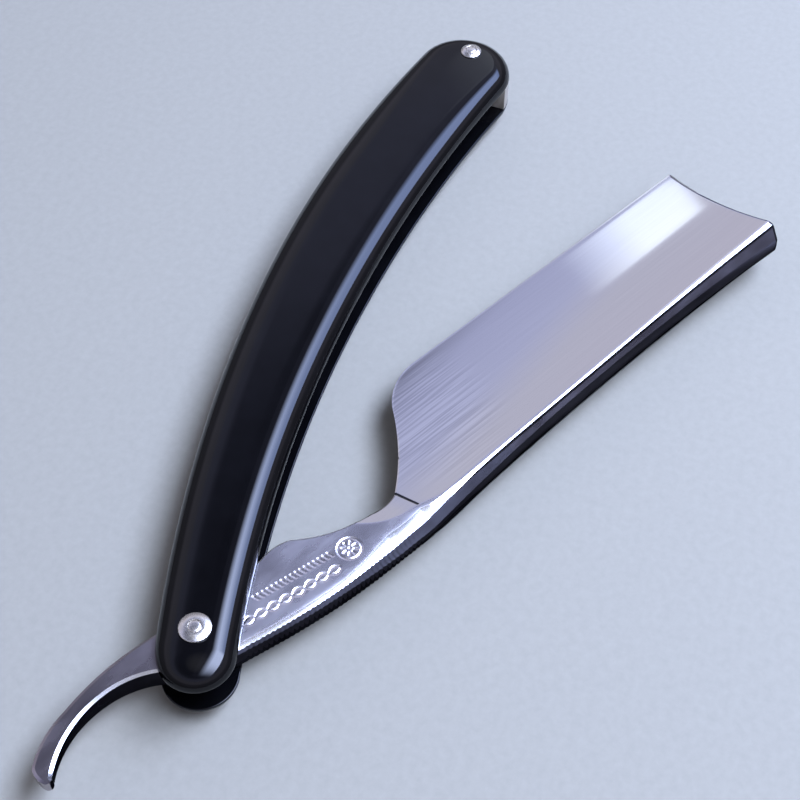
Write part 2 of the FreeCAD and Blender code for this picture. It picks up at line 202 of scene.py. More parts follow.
# The colour of the room overhead, around the lights, and of the room by the height of a direction.
OVERHEAD = (0.09, 0.094, 0.14)
SKY = [
    (0.0, (0.17, 0.17, 0.2)), (0.35, (0.27, 0.265, 0.32)), (0.46, (0.66, 0.64, 0.79)),
    (0.60, (0.64, 0.64, 0.8)), (0.66, (0.55, 0.58, 0.85)), (0.73, (0.5, 0.53, 0.8)),
    (0.79, (0.2, 0.215, 0.33)), (0.86, OVERHEAD), (0.93, OVERHEAD), (1.0, (0.5, 0.5, 0.56)),
]

# The softbox: its height, its sides and its fading inner strip as shares of the height, its peak
# radiance, and its colour from one end to the other.
SOFTBOX_HEIGHT = 0.9
SOFTBOX_SIDES = (-0.6, 1.4, -0.9, 0.0)
SOFTBOX_FADE = (-0.38, -0.17)
SOFTBOX_PEAK = 28.5
SOFTBOX_COLOURS = [
    (0.0, (0, 0, 0)), (0.42, (0.58, 0.68, 1.0)), (0.6, (0.58, 0.68, 1.0)), (0.78, (0.165, 0.22, 0.4)),
    (0.92, (0.11, 0.155, 0.31)), (1.0, (0, 0, 0)),
]

# The window: the point by the toe that it faces, its azimuth and elevation from there, its distance, size
# and roll, the part of its width over which it fades, and its colour.
WINDOW_TARGET = (0.115, -0.042, 0.006)
WINDOW_AIM = (13.1, 41.2)
WINDOW_DISTANCE = 2.5
WINDOW_SIZE = (0.34, 0.36)
WINDOW_ROLL = 37
WINDOW_FADE = (0.35, 0.76)
WINDOW_COLOUR = (0.8, 0.9, 1.0)


# ---------------------------------------------------------------- plane geometry


def along(points, values):
    """Smooth values between given points: a monotone cubic through (x, value) pairs."""
    xs, ys = (np.array(column, float) for column in zip(*points))
    gaps = np.diff(xs)
    slopes = np.diff(ys) / gaps
    tangents = np.zeros(len(xs))
    same = slopes[:-1] * slopes[1:] > 0
    tangents[1:-1][same] = 2 * slopes[:-1][same] * slopes[1:][same] / (slopes[:-1] + slopes[1:])[same]
    tangents[0], tangents[-1] = slopes[0], slopes[-1]
    values = np.clip(np.asarray(values, float), xs[0], xs[-1])
    index = np.clip(np.searchsorted(xs, values, side="right") - 1, 0, len(gaps) - 1)
    t = (values - xs[index]) / gaps[index]
    first = (1 + 2 * t) * (1 - t) ** 2 * ys[index] + t * (1 - t) ** 2 * gaps[index] * tangents[index]
    last = t * t * (3 - 2 * t) * ys[index + 1] + t * t * (t - 1) * gaps[index] * tangents[index + 1]
    return first + last


def smooth_step(low, high, values):
    """Goes smoothly from 0 at low to 1 at high."""
    t = np.clip((np.asarray(values, float) - low) / (high - low), 0, 1)
    return t * t * (3 - 2 * t)


def arc_points(first, last, bend, step):
    """Points along an arc from first to last. It turns left for a positive bend, and 0 is straight."""
    first, last = np.array(first, float), np.array(last, float)
    chord = last - first
    length = math.hypot(*chord)
    if bend == 0:
        t = np.linspace(0, 1, max(2, math.ceil(length / step) + 1))
        return first + t[:, None] * chord
    rise = math.copysign(math.sqrt(max(bend * bend - length * length / 4, 0)), bend)
    centre = (first + last) / 2 + rise * np.array([-chord[1], chord[0]]) / length
    turn = math.copysign(2 * math.asin(min(1, length / 2 / abs(bend))), bend)
    start = math.atan2(*(first - centre)[::-1])
    angles = start + turn * np.linspace(0, 1, max(3, math.ceil(abs(turn * bend) / step) + 1))
    return centre + abs(bend) * np.stack([np.cos(angles), np.sin(angles)], 1)


def blade_outline(first, last, step=0.1):
    """The blade's outline from one named corner to a later one."""
    names = [corner[0] for corner in BLADE_CORNERS]
    pieces = []
    index = names.index(first)
    while True:
        _, x, y, bend = BLADE_CORNERS[index]
        index = (index + 1) % len(names)
        pieces.append(arc_points((x, y), BLADE_CORNERS[index][1:3], bend, step)[:-1])
        if names[index] == last:
            return np.vstack(pieces + [[BLADE_CORNERS[index][1:3]]])


def meet(centre_a, reach_a, centre_b, reach_b, side):
    """Where two circles cross, on the left (1) or the right (-1) of the line from a to b."""
    a, b = np.array(centre_a, float), np.array(centre_b, float)
    gap = math.hypot(*(b - a))
    foot = (gap * gap + reach_a ** 2 - reach_b ** 2) / (2 * gap)
    rise = math.sqrt(max(reach_a ** 2 - foot ** 2, 0))
    line = (b - a) / gap
    return a + foot * line + side * rise * np.array([-line[1], line[0]])


def handle_arcs():
    """The handle's arcs as (centre, radius), counter-clockwise from the crown. A minus is hollow."""
    back = [(np.array([CROWN[0], CROWN[1] - bend]), bend) for bend in BACK_BENDS]
    mouth = [(np.array([MOUTH[0], MOUTH[1] - bend]), -bend) for bend in MOUTH_BENDS]
    # The pivot's end: its lower arc touches the mouth, and its upper arc the lower one and the back.
    lower_x = PIVOT_END_LOWER - PIVOT_END_REACH
    reach = PIVOT_END_LOWER + MOUTH_BENDS[0]
    lower_y = mouth[0][0][1] + math.sqrt(reach ** 2 - (MOUTH[0] - lower_x) ** 2)
    lower = np.array([lower_x, lower_y])
    gap_lower, gap_back = PIVOT_END_UPPER - PIVOT_END_LOWER, BACK_BENDS[0] - PIVOT_END_UPPER
    upper = meet(lower, gap_lower, back[0][0], gap_back, 1)
    # The wedge's end: one arc that touches the mouth and the back, found by halving.
    low, high = -6.0, 6.0
    for _ in range(60):
        end_y = (low + high) / 2
        radius = math.hypot(WEDGE_END_CENTRE - MOUTH[0], end_y - mouth[1][0][1]) - MOUTH_BENDS[1]
        reach = math.hypot(WEDGE_END_CENTRE - CROWN[0], end_y - back[1][0][1]) + radius
        low, high = (low, end_y) if reach > BACK_BENDS[1] else (end_y, high)
    wedge_end = (np.array([WEDGE_END_CENTRE, end_y]), radius)
    pivot_end = [(upper, PIVOT_END_UPPER), (lower, PIVOT_END_LOWER)]
    return [back[0], *pivot_end, *mouth, wedge_end, back[1]]


HANDLE_ARCS = handle_arcs()


def handle_outline(inset=0.0, step=0.8):
    """The handle's outline, moved inwards by inset, and by less towards the wedge's end."""
    points = []
    arcs = HANDLE_ARCS
    for index, (centre, radius) in enumerate(arcs):
        joins = []
        for other, other_radius in (arcs[index - 1], arcs[(index + 1) % len(arcs)]):
            if abs(radius) > LONG_RADIUS and abs(other_radius) > LONG_RADIUS:
                # The back's two arcs meet at its crown, and the mouth's at its highest point.
                joins.append(math.copysign(math.pi / 2, radius))
            else:
                normal = (other - centre) / (radius - other_radius)
                joins.append(math.atan2(normal[1], normal[0]))
        start, stop = joins
        if radius > 0 and stop < start:
            stop += 2 * math.pi
        if radius < 0 and stop > start:
            start += 2 * math.pi
        fine = step if abs(radius) > LONG_RADIUS else step / 3
        count = max(4, math.ceil(abs(radius * (stop - start)) / fine))
        angles = start + (stop - start) * np.arange(count) / count
        normals = np.stack([np.cos(angles), np.sin(angles)], 1)
        edge = centre + radius * normals
        share = 1 - EDGE_NARROWING * smooth_step(*NARROWING_RUN, edge[:, 0])
        points.append(edge - (inset * share)[:, None] * normals)
    return np.vstack(points)


# ---------------------------------------------------------------- mesh helpers


def finish_piece(name, bm_or_mesh, body, materials, node=None):
    """Turns a mesh in millimetres into a piece of the razor that rides on a body."""
    if isinstance(bm_or_mesh, bpy.types.Mesh):
        mesh = bm_or_mesh
    else:
        mesh = bpy.data.meshes.new(name)
        bmesh.ops.recalc_face_normals(bm_or_mesh, faces=bm_or_mesh.faces)
        bm_or_mesh.to_mesh(mesh)
        bm_or_mesh.free()
    mesh.transform(Matrix.Scale(MM, 4))
    piece = bpy.data.objects.new(name, mesh)
    bpy.context.scene.collection.objects.link(piece)
    for material in materials:
        mesh.materials.append(material)
    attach(piece, body)
    if node:
        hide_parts(node)
    return piece


def ring_faces(bm, lower, upper):
    """A closed band of quads between two rings of the same length."""
    return [
        bm.faces.new((lower[i - 1], lower[i], upper[i], upper[i - 1])) for i in range(len(lower))
    ]


def add_ring(bm, points, z):
    """Vertices at height z above the given (x, y) points."""
    return [bm.verts.new((x, y, z)) for x, y in points]


def ring_edges(bm, ring):
    """The edges round a ring, made where they are missing."""
    found = []
    for i in range(len(ring)):
        edge = bm.edges.get((ring[i - 1], ring[i]))
        found.append(edge or bm.edges.new((ring[i - 1], ring[i])))
    return found


def circle(centre_x, radius, count=48):
    """Points round a circle whose centre is on the x axis."""
    angles = 2 * math.pi * np.arange(count) / count
    return np.stack([centre_x + radius * np.cos(angles), radius * np.sin(angles)], 1)


def mark_sharp(mesh, degrees):
    """Smooth shading, with a crease wherever faces meet at more than the given angle."""
    mesh.shade_smooth()
    mesh.set_sharp_from_angle(angle=math.radians(degrees))


def revolve(name, profile, centre_x, body, material, node, segments=96, sharp=38, wobble=0.0):
    """A turned piece on an upright axis at centre_x, from a profile of (radius, z)."""
    bm = bmesh.new()
    rings = []
    for radius, z in profile:
        if radius == 0:
            rings.append(bm.verts.new((centre_x, 0, z)))
        else:
            points = circle(centre_x, radius, segments)
            # wobble gives it three faint lobes, as hammering does.
            lobes = 1 + wobble * np.sin(3 * np.arange(segments) * 2 * math.pi / segments + centre_x)
            points = (points - [centre_x, 0]) * lobes[:, None] + [centre_x, 0]
            rings.append(add_ring(bm, points, z))
    for lower, upper in zip(rings, rings[1:]):
        if isinstance(lower, list) and isinstance(upper, list):
            ring_faces(bm, lower, upper)
        else:
            tip, ring = (upper, lower) if isinstance(lower, list) else (lower, upper)
            for i in range(len(ring)):
                bm.faces.new((ring[i - 1], ring[i], tip))
    if isinstance(rings[0], list) and isinstance(rings[-1], list):
        ring_faces(bm, rings[-1], rings[0])
    piece = finish_piece(name, bm, body, [material], node)
    mark_sharp(piece.data, sharp)
    return piece


# ---------------------------------------------------------------- materials


def new_material(name):
    """A material with nodes, and its nodes, links and shader."""
    material = bpy.data.materials.new(name)
    material.use_nodes = True
    nodes = material.node_tree.nodes
    return material, nodes, material.node_tree.links, nodes["Principled BSDF"]


def add_noise(nodes, links, scale, stretch=(1, 1, 1), turn=0.0, detail=4.0, roughness=0.6):
    """Noise in the object's own space, stretched and turned about +Z."""
    place = nodes.new("ShaderNodeTexCoord")
    mapping = nodes.new("ShaderNodeMapping")
    mapping.vector_type = "TEXTURE"
    mapping.inputs["Rotation"].default_value = (0, 0, turn)
    mapping.inputs["Scale"].default_value = stretch
    noise = nodes.new("ShaderNodeTexNoise")
    noise.inputs["Scale"].default_value = scale
    noise.inputs["Detail"].default_value = detail
    noise.inputs["Roughness"].default_value = roughness
    links.new(place.outputs["Object"], mapping.inputs["Vector"])
    links.new(mapping.outputs["Vector"], noise.inputs["Vector"])
    return noise.outputs["Fac"]


def add_range(nodes, links, source, low, high, from_low=0.3, from_high=0.7):
    """Goes from low to high as source goes from from_low to from_high, and stays there beyond."""
    ranged = nodes.new("ShaderNodeMapRange")
    ranged.inputs["From Min"].default_value = from_low
    ranged.inputs["From Max"].default_value = from_high
    ranged.inputs["To Min"].default_value = low
    ranged.inputs["To Max"].default_value = high
    links.new(source, ranged.inputs["Value"])
    return ranged.outputs["Result"]


def add_bumps(nodes, links, shader, layers):
    """Bumps on the shader's normal. Each layer is a height source, a strength and a depth."""
    normal = None
    for source, strength, depth in layers:
        bump = nodes.new("ShaderNodeBump")
        bump.inputs["Strength"].default_value = strength
        bump.inputs["Distance"].default_value = depth * MM
        links.new(source, bump.inputs["Height"])
        if normal:
            links.new(normal, bump.inputs["Normal"])
        normal = bump.outputs["Normal"]
    links.new(normal, shader.inputs["Normal"])


def add_ramp(nodes, links, source, stops):
    """A colour ramp driven by source, with (position, colour) stops in order."""
    ramp = nodes.new("ShaderNodeValToRGB")
    elements = ramp.color_ramp.elements
    for element, (position, colour) in zip(elements, (stops[0], stops[-1])):
        element.position = position
        element.color = (*colour, 1)
    for position, colour in stops[1:-1]:
        elements.new(position).color = (*colour, 1)
    links.new(source, ramp.inputs["Fac"])
    return ramp


def add_colour(nodes, links, source, shader, dark, light):
    """The shader's colour, from dark to light as the source goes from low to high."""
    ramp = add_ramp(nodes, links, source, [(0.3, dark), (0.7, light)])
    links.new(ramp.outputs["Color"], shader.inputs["Base Color"])


def steel(name, roughness, dark, light, scratch_strength, edge_tint):
    """Blade steel: fine scratches along the blade over a faint cloudiness."""
    material, nodes, links, shader = new_material(name)
    shader.inputs["Metallic"].default_value = 1.0
    shader.inputs["Specular Tint"].default_value = (edge_tint, edge_tint, edge_tint, 1)
    scratches = add_noise(nodes, links, 3500, (60, 1, 1), -REST_ANGLE, detail=3)
    clouds = add_noise(nodes, links, 260, (3, 1, 1), -REST_ANGLE, detail=3)
    cloudy = add_range(nodes, links, clouds, 0.85 * roughness, 1.15 * roughness)
    links.new(cloudy, shader.inputs["Roughness"])
    add_colour(nodes, links, clouds, shader, dark, light)
    add_bumps(nodes, links, shader, [(scratches, scratch_strength, 0.004)])
    return material


def worn_steel():
    """The polished steel of the face. Its coarse scratches fade out away from the heel."""
    material, nodes, links, shader = new_material("steel_polished")
    shader.inputs["Metallic"].default_value = 1.0
    clouds = add_noise(nodes, links, 220, (4, 1, 1), -REST_ANGLE, detail=4)
    scratches = add_noise(nodes, links, 2600, (45, 1, 1), -REST_ANGLE, detail=4, roughness=0.5)
    heel = Matrix.Rotation(-REST_ANGLE, 3, "Z") @ Vector((52, 9, 0)) * MM
    place = nodes.new("ShaderNodeTexCoord")
    distance = nodes.new("ShaderNodeVectorMath")
    distance.operation = "DISTANCE"
    links.new(place.outputs["Object"], distance.inputs[0])
    distance.inputs[1].default_value = (heel.x, heel.y, MID_HEIGHT * MM)
    wear = add_range(nodes, links, distance.outputs["Value"], 0.9, 0.04, 0.003, 0.016)
    line = add_range(nodes, links, scratches, 0, 1, 0.35, 0.65)
    mix = nodes.new("ShaderNodeMix")
    links.new(wear, mix.inputs["Factor"])
    mix.inputs["A"].default_value = 0.5
    links.new(line, mix.inputs["B"])
    marks = mix.outputs["Result"]
    links.new(add_range(nodes, links, clouds, 0.045, 0.065), shader.inputs["Roughness"])
    add_colour(nodes, links, marks, shader, (0.56, 0.56, 0.58), (0.76, 0.76, 0.77))
    add_bumps(nodes, links, shader, [(marks, 0.12, 0.01)])
    return material


def acrylic():
    """Polished black acrylic with hairline scratches."""
    material, nodes, links, shader = new_material("black_acrylic")
    hairs = add_noise(nodes, links, 5000, (40, 1, 1), 0.1, detail=2)
    haze = add_noise(nodes, links, 160, detail=5)
    add_colour(nodes, links, haze, shader, (0.001, 0.001, 0.0013), (0.002, 0.002, 0.0025))
    links.new(add_range(nodes, links, haze, 0.04, 0.07), shader.inputs["Roughness"])
    shader.inputs["IOR"].default_value = 1.36
    add_bumps(nodes, links, shader, [(hairs, 0.03, 0.003)])
    return material


def ivory():
    """Pale ivory plastic with a faint grain along the handle, its colour darkened as painted shade for
    the shade between the scales.
    """
    material, nodes, links, shader = new_material("pale_ivory_painted_shade")
    grain = add_noise(nodes, links, 900, (8, 1, 1), 0.05, detail=6)
    # Painted shade: these colours are darker than the ivory's own, for the shade the wedge lies in
    # between the scales.
    add_colour(nodes, links, grain, shader, (0.27, 0.245, 0.2), (0.33, 0.3, 0.25))
    links.new(add_range(nodes, links, grain, 0.3, 0.42), shader.inputs["Roughness"])
    add_bumps(nodes, links, shader, [(grain, 0.15, 0.01)])
    return material


def nickel_silver():
    """Polished nickel silver, with the small dents of peening."""
    material, nodes, links, shader = new_material("nickel_silver_polished")
    shader.inputs["Metallic"].default_value = 1.0
    dents = add_noise(nodes, links, 1300, detail=2)
    fine = add_noise(nodes, links, 7000, detail=3)
    add_colour(nodes, links, dents, shader, (0.7, 0.67, 0.61), (0.86, 0.83, 0.78))
    links.new(add_range(nodes, links, fine, 0.22, 0.32), shader.inputs["Roughness"])
    add_bumps(nodes, links, shader, [(dents, 0.05, 0.02), (fine, 0.06, 0.004)])
    return material


def brass():
    """Tarnished brass."""
    material, nodes, links, shader = new_material("washer_brass_plain")
    shader.inputs["Metallic"].default_value = 1.0
    tarnish = add_noise(nodes, links, 900, detail=5)
    add_colour(nodes, links, tarnish, shader, (0.45, 0.31, 0.12), (0.76, 0.58, 0.28))
    links.new(add_range(nodes, links, tarnish, 0.25, 0.4), shader.inputs["Roughness"])
    return material


def floor_paper():
    """Pale paper with a faint tooth."""
    material, nodes, links, shader = new_material("studio_paper")
    tooth = add_noise(nodes, links, 700, detail=6)
    add_colour(nodes, links, tooth, shader, (0.24, 0.23, 0.188), (0.264, 0.253, 0.207))
    shader.inputs["Roughness"].default_value = 0.9
    add_bumps(nodes, links, shader, [(tooth, 0.1, 0.1)])
    return material


# ---------------------------------------------------------------- handle


def scale_profile():
    """The section of a scale as (inset, height over its inner face), up to the flat top."""
    shoulder = SCALE_THICK - EDGE_ROUND_DEEP
    profile = []
    for angle in np.linspace(0, math.pi / 2, 5)[:-1]:
        profile.append((shoulder * (1 - math.sin(angle)), shoulder * (1 - math.cos(angle))))
    for angle in np.linspace(0, math.pi / 2, 30):
        inset = EDGE_ROUND_WIDE * (1 - math.cos(angle))
        profile.append((inset, shoulder + EDGE_ROUND_DEEP * math.sin(angle)))
    return profile


def make_scale(node, side, material):
    """One scale, from rings of its outline, with a hole for each pin. side is 1 above and -1 below."""
    bm = bmesh.new()
    inner = MID_HEIGHT + side * SLOT_HALF
    rings = []
    for inset, height in scale_profile():
        rings.append(add_ring(bm, handle_outline(inset), inner + side * height))
    for lower, upper in zip(rings, rings[1:]):
        ring_faces(bm, lower, upper)
    holes = []
    for height in (0, SCALE_THICK):
        z = inner + side * height
        holes.append([add_ring(bm, circle(x, PIN_HOLE_RADIUS, 24), z) for x in (0, PIN_SPAN)])
    for low_hole, high_hole in zip(*holes):
        ring_faces(bm, low_hole, high_hole)
    for rim, pair in ((rings[0], holes[0]), (rings[-1], holes[1])):
        edges = ring_edges(bm, rim) + [edge for hole in pair for edge in ring_edges(bm, hole)]
        bmesh.ops.triangle_fill(bm, use_beauty=True, edges=edges)
    piece = finish_piece("scale_" + node.split("_")[0], bm, "handle", [material], node)
    mark_sharp(piece.data, 35)
    return piece


def make_wedge(material):
    """The spacer between the scales, flush with them, its front hollowed about the pivot."""
    inset, chamfer = 0.05, 0.1
    outline = handle_outline(inset, step=0.4)
    kept = outline[np.hypot(outline[:, 0], outline[:, 1]) > WEDGE_FRONT]
    start = int(np.argmax(np.hypot(*(kept - np.roll(kept, 1, 0)).T)))
    kept = np.roll(kept, -start, 0)
    top, bottom = kept[-1], kept[0]
    angles = np.linspace(math.atan2(top[1], top[0]), math.atan2(bottom[1], bottom[0]), 30)
    front = WEDGE_FRONT * np.stack([np.cos(angles), np.sin(angles)], 1)
    points = np.vstack([kept, front])
    bm = bmesh.new()
    levels = [
        (chamfer, -SLOT_HALF), (0, chamfer - SLOT_HALF), (0, SLOT_HALF - chamfer), (chamfer, SLOT_HALF),
    ]
    centre = points.mean(0)
    rings = []
    for pull, z in levels:
        away = points - centre
        shrunk = centre + away * (1 - pull / np.hypot(*away.T))[:, None]
        rings.append(add_ring(bm, shrunk, MID_HEIGHT + z))
    for lower, upper in zip(rings, rings[1:]):
        ring_faces(bm, lower, upper)
    for ring in (rings[0], rings[-1]):
        bmesh.ops.triangle_fill(bm, use_beauty=True, edges=ring_edges(bm, ring))
    piece = finish_piece("wedge_spacer", bm, "handle", [material], "wedge")
    mark_sharp(piece.data, 30)
    return piece


def collar_profile(radius, base, side):
    """A domed washer: an upright rim, a rounded shoulder, a dome and a seat for the pin's head."""
    bore, rim, bead, seat, floor, soft = 0.84, 0.12, 0.16, 1.12, 0.3, 0.04
    profile = [(bore, base), (radius - soft, base)]
    profile += [(radius, base + side * soft), (radius, base + side * rim)]
    for angle in np.linspace(0.2, 1.0, 5) * math.pi / 3:
        lift = rim + bead * math.sin(angle)
        profile.append((radius - bead * (1 - math.cos(angle)), base + side * lift))
    start = radius - bead * 0.5
    start_lift = rim + bead * math.sin(math.pi / 3)
    for t in np.linspace(0.15, 1, 9):
        lift = start_lift + (COLLAR_LIFT - start_lift) * math.sin(t * math.pi / 2)
        profile.append((start + (seat - start) * t, base + side * lift))
    profile.append((seat - 0.05, base + side * (COLLAR_LIFT - 0.05)))
    profile += [(seat - 0.08, base + side * floor), (bore, base + side * floor)]
    return profile


def head_profile(base, side):
    """The peened head of a pin, from its centre: a low dome over a rolled rim."""
    dome = [
        (0.0, 1.0), (0.2, 0.998), (0.4, 0.99), (0.58, 0.97), (0.73, 0.935), (0.85, 0.88), (0.94, 0.8),
        (1.0, 0.7), (1.02, 0.6),
    ]
    profile = [(radius, base + side * HEAD_LIFT * share) for radius, share in dome]
    return profile + [(dome[-1][0], base + side * HEAD_UNDERSIDE)]


def make_pin(node, centre_x, material):
    """A pin with a peened head at each end."""
    outer = SLOT_HALF + SCALE_THICK
    top = head_profile(MID_HEIGHT + outer, 1)
    bottom = head_profile(MID_HEIGHT - outer, -1)
    reach = outer + HEAD_UNDERSIDE
    shank = [(PIN_RADIUS, MID_HEIGHT + reach), (PIN_RADIUS, MID_HEIGHT - reach)]
    profile = top + shank + bottom[::-1]
    name = node + "_turned"
    return revolve(name, profile, centre_x, "handle", material, node, wobble=0.006)


def make_collars(material):
    """A collar under each of the four heads."""
    outer = SLOT_HALF + SCALE_THICK
    for side_name, side in (("front", 1), ("back", -1)):
        for end, centre_x in (("pivot", 0.0), ("wedge", PIN_SPAN)):
            node = f"{side_name}_{end}_collar"
            low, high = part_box(node)
            radius = (high.x - low.x) / 2 / MM
            profile = collar_profile(radius, MID_HEIGHT + side * outer, side)
            revolve(node + "_domed", profile, centre_x, "handle", material, node)


def make_tang_washers(material):
    """The flat rings between the tang and the scales."""
    for node in ("front_tang_washer", "back_tang_washer"):
        low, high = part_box(node)
        radius, bottom, top = high.x / MM, low.z / MM, high.z / MM
        bore, soft = 0.82, 0.06
        profile = [
            (bore, bottom), (radius - soft, bottom), (radius, bottom + soft), (radius, top - soft),
            (radius - soft, top), (bore, top),
        ]
        revolve(node + "_ring", profile, 0.0, "handle", material, node, segments=64)


# ---------------------------------------------------------------- blade


def flat_half(x):
    """Half the thickness of the shank, tang and tail where nothing is ground away."""
    return along([(-29, 1.1), (-5, 2.1), (8, 2.1), (38.3, 2.5), (44, SPINE_HALF), (60, SPINE_HALF)], x)


def hone_line(x):
    """The y at which the hollow meets the bevel of the spine."""
    return -4.1 - 2.2 * ((128 - np.clip(x, 45, 128)) / 83) ** 1.1


def hollow_half(x, y):
    """Half the thickness left by the hollow grind, which runs out in a corner at the shoulder."""
    reach = np.clip(EDGE_Y - y, 0, None)
    share = reach / (EDGE_Y - hone_line(x))
    corner = np.clip(CORNER_START - x, 0, None) ** 2 / (2 * CORNER_BEND)
    return EDGE_HALF + (SPINE_HALF - EDGE_HALF) * share ** HOLLOW_POWER + corner


def face_half(x, y):
    """Half the thickness of the blade's face: the thinner of flat and hollow, blended together."""
    return soft_min(flat_half(x), hollow_half(x, y), 0.002 * (1 - smooth_step(40, 45, x)))


def spread(line, shares):
    """Points along a line at shares of its length."""
    lengths = np.concatenate([[0], np.cumsum(np.hypot(*np.diff(line, axis=0).T))])
    places = shares * lengths[-1]
    return np.stack([np.interp(places, lengths, line[:, 0]), np.interp(places, lengths, line[:, 1])], 1)


def tail_rungs():
    """The tail's rungs, from its tip to the tang: points below and above, paired by length."""
    tip = blade_outline("tail_tip_outer", "tail_tip_inner", 0.05)
    half = len(tip) // 2
    low = np.vstack([tip[half:-1], blade_outline("tail_tip_inner", "shank_back")])
    high = np.vstack([tip[:half + 1][::-1], blade_outline("tang_top", "tail_tip_outer")[::-1][1:]])
    shares = np.concatenate([np.linspace(0, 0.06, 9)[:-1], np.linspace(0.06, 1, 62)])
    tang_x = -4.0
    return [spread(line[line[:, 0] < tang_x], shares) for line in (low, high)]


def shank_and_blade_rungs():
    """The rungs from the tang to the nose. Near the shoulder they lean with the scribed line."""
    scribe = SCRIBE_X + np.array([side * half for side in (-1, 1) for half in SCRIBE_HALVES])
    spacings = [
        (-3.5, 4, 0.5), (4, 38.4, NOTCH_PITCH / 6), (38.8, 44, 0.2), (44, 62, 0.5), (62, 112, 1.2),
        (112, 124, 0.6), (124, 127.3, 0.3),
    ]
    runs = [np.arange(*spacing) for spacing in spacings]
    high_x = np.concatenate([*runs[:2], np.sort(scribe), *runs[2:], [NOSE_X - NOSE_CHAMFER, NOSE_X]])
    lean = smooth_step(33.5, 37.5, high_x) * (1 - smooth_step(40.5, 47.5, high_x))
    low_x = high_x + SCRIBE_RUN * lean
    # Both outlines are drawn on past the nose, so that the last rungs are whole.
    low = blade_outline("tang_under", "spine_toe", 0.05)
    low = np.vstack([low, low[-1] + (low[-1] - low[-20]) * 4])
    high = blade_outline("toe", "tang_top", 0.05)[::-1]
    high = np.vstack([high, [NOSE_X + 1, EDGE_Y]])
    low_y = np.interp(low_x, low[:, 0], low[:, 1])
    high_y = np.interp(high_x, high[:, 0], high[:, 1])
    return np.stack([low_x, low_y], 1), np.stack([high_x, high_y], 1)


def inward(line, side):
    """Unit normals of a line of points: to its left for side 1, to its right for side -1."""
    run = np.gradient(line, axis=0)
    run /= np.maximum(np.hypot(*run.T), 1e-9)[:, None]
    return side * np.stack([-run[:, 1], run[:, 0]], 1)


def soft_min(first, second, blend):
    """The smaller of two values, rounded where they are near each other."""
    return (first + second - np.sqrt((first - second) ** 2 + blend)) / 2


def groove(distance, half_width, slope_width=0.22):
    """1 inside a mark and 0 outside it, with soft sides."""
    return 1 - smooth_step(half_width, half_width + slope_width, distance)


def chain_mark(u, v):
    """Two crossing waves, like links. In these marks u runs along the row and v across it."""
    start, links, pitch, middle, swing = 0.4, 8, 2.15, 0.15, 0.62
    inside = (u > start) & (u < start + links * pitch)
    wave = swing * np.sin(math.pi * (u - start) / pitch)
    nearest = np.minimum(np.abs(v - middle - wave), np.abs(v - middle + wave))
    return inside * groove(0.75 * nearest, 0.08, 0.13)


def dash_marks(u, v):
    """A row of slanted dashes."""
    start, dashes, pitch, middle, lean, half_length = 3.9, 17, 0.82, 2.85, 0.45, 0.42
    cell = (u - start + lean * (v - middle)) % pitch - pitch / 2
    inside = (u > start) & (u < start + dashes * pitch)
    nearest = np.hypot(cell, np.maximum(np.abs(v - middle) - half_length, 0))
    return inside * groove(nearest, 0.1, 0.14)


def rosette_mark(u, v):
    """Eight short rays round a dot, in a ring."""
    ring, ray_middle, ray_half, dot = 1.85, 0.95, 0.32, 0.14
    radius, angle = np.hypot(u, v), np.arctan2(v, u)
    turn = math.pi / 4
    across = np.abs((angle + turn / 2) % turn - turn / 2) * radius
    rays = np.maximum(across - 0.07, np.abs(radius - ray_middle) - ray_half)
    rim = groove(np.abs(radius - ring), 0.06, 0.18)
    return np.maximum.reduce([groove(rays, 0.0, 0.16), rim, groove(radius, dot, 0.16)])


def stamp_depth(x, y):
    """Depth of the stamped ornament: a chain, a row of dashes and a rosette. It spells nothing."""
    right, up = x - STAMP_ORIGIN[0], y - STAMP_ORIGIN[1]
    u = right * math.cos(STAMP_SLANT) + up * math.sin(STAMP_SLANT)
    v = -right * math.sin(STAMP_SLANT) + up * math.cos(STAMP_SLANT)
    rosette = rosette_mark(x - ROSETTE_CENTRE[0], y - ROSETTE_CENTRE[1])
    return STAMP_DEPTH * np.maximum.reduce([chain_mark(u, v), dash_marks(u, v), rosette])


def scribe_depth(rung_x, y):
    """Depth of the fine line scribed across the shoulder, along the rungs that start beside it."""
    inner, outer = SCRIBE_HALVES
    across = np.clip((outer - np.abs(rung_x - SCRIBE_X)) / (outer - inner), 0, 1)
    return SCRIBE_DEPTH * across * (y > SCRIBE_END_Y)


def notch_depth(x):
    """How far the thumb notches cut into the shank's back."""
    fade_in, fade_out = NOTCH_FADES
    notch = 0.5 - 0.5 * np.cos(2 * math.pi * (x - NOTCH_START) / NOTCH_PITCH)
    return NOTCH_DEPTH * notch * smooth_step(*fade_in, x) * (1 - smooth_step(*fade_out, x))


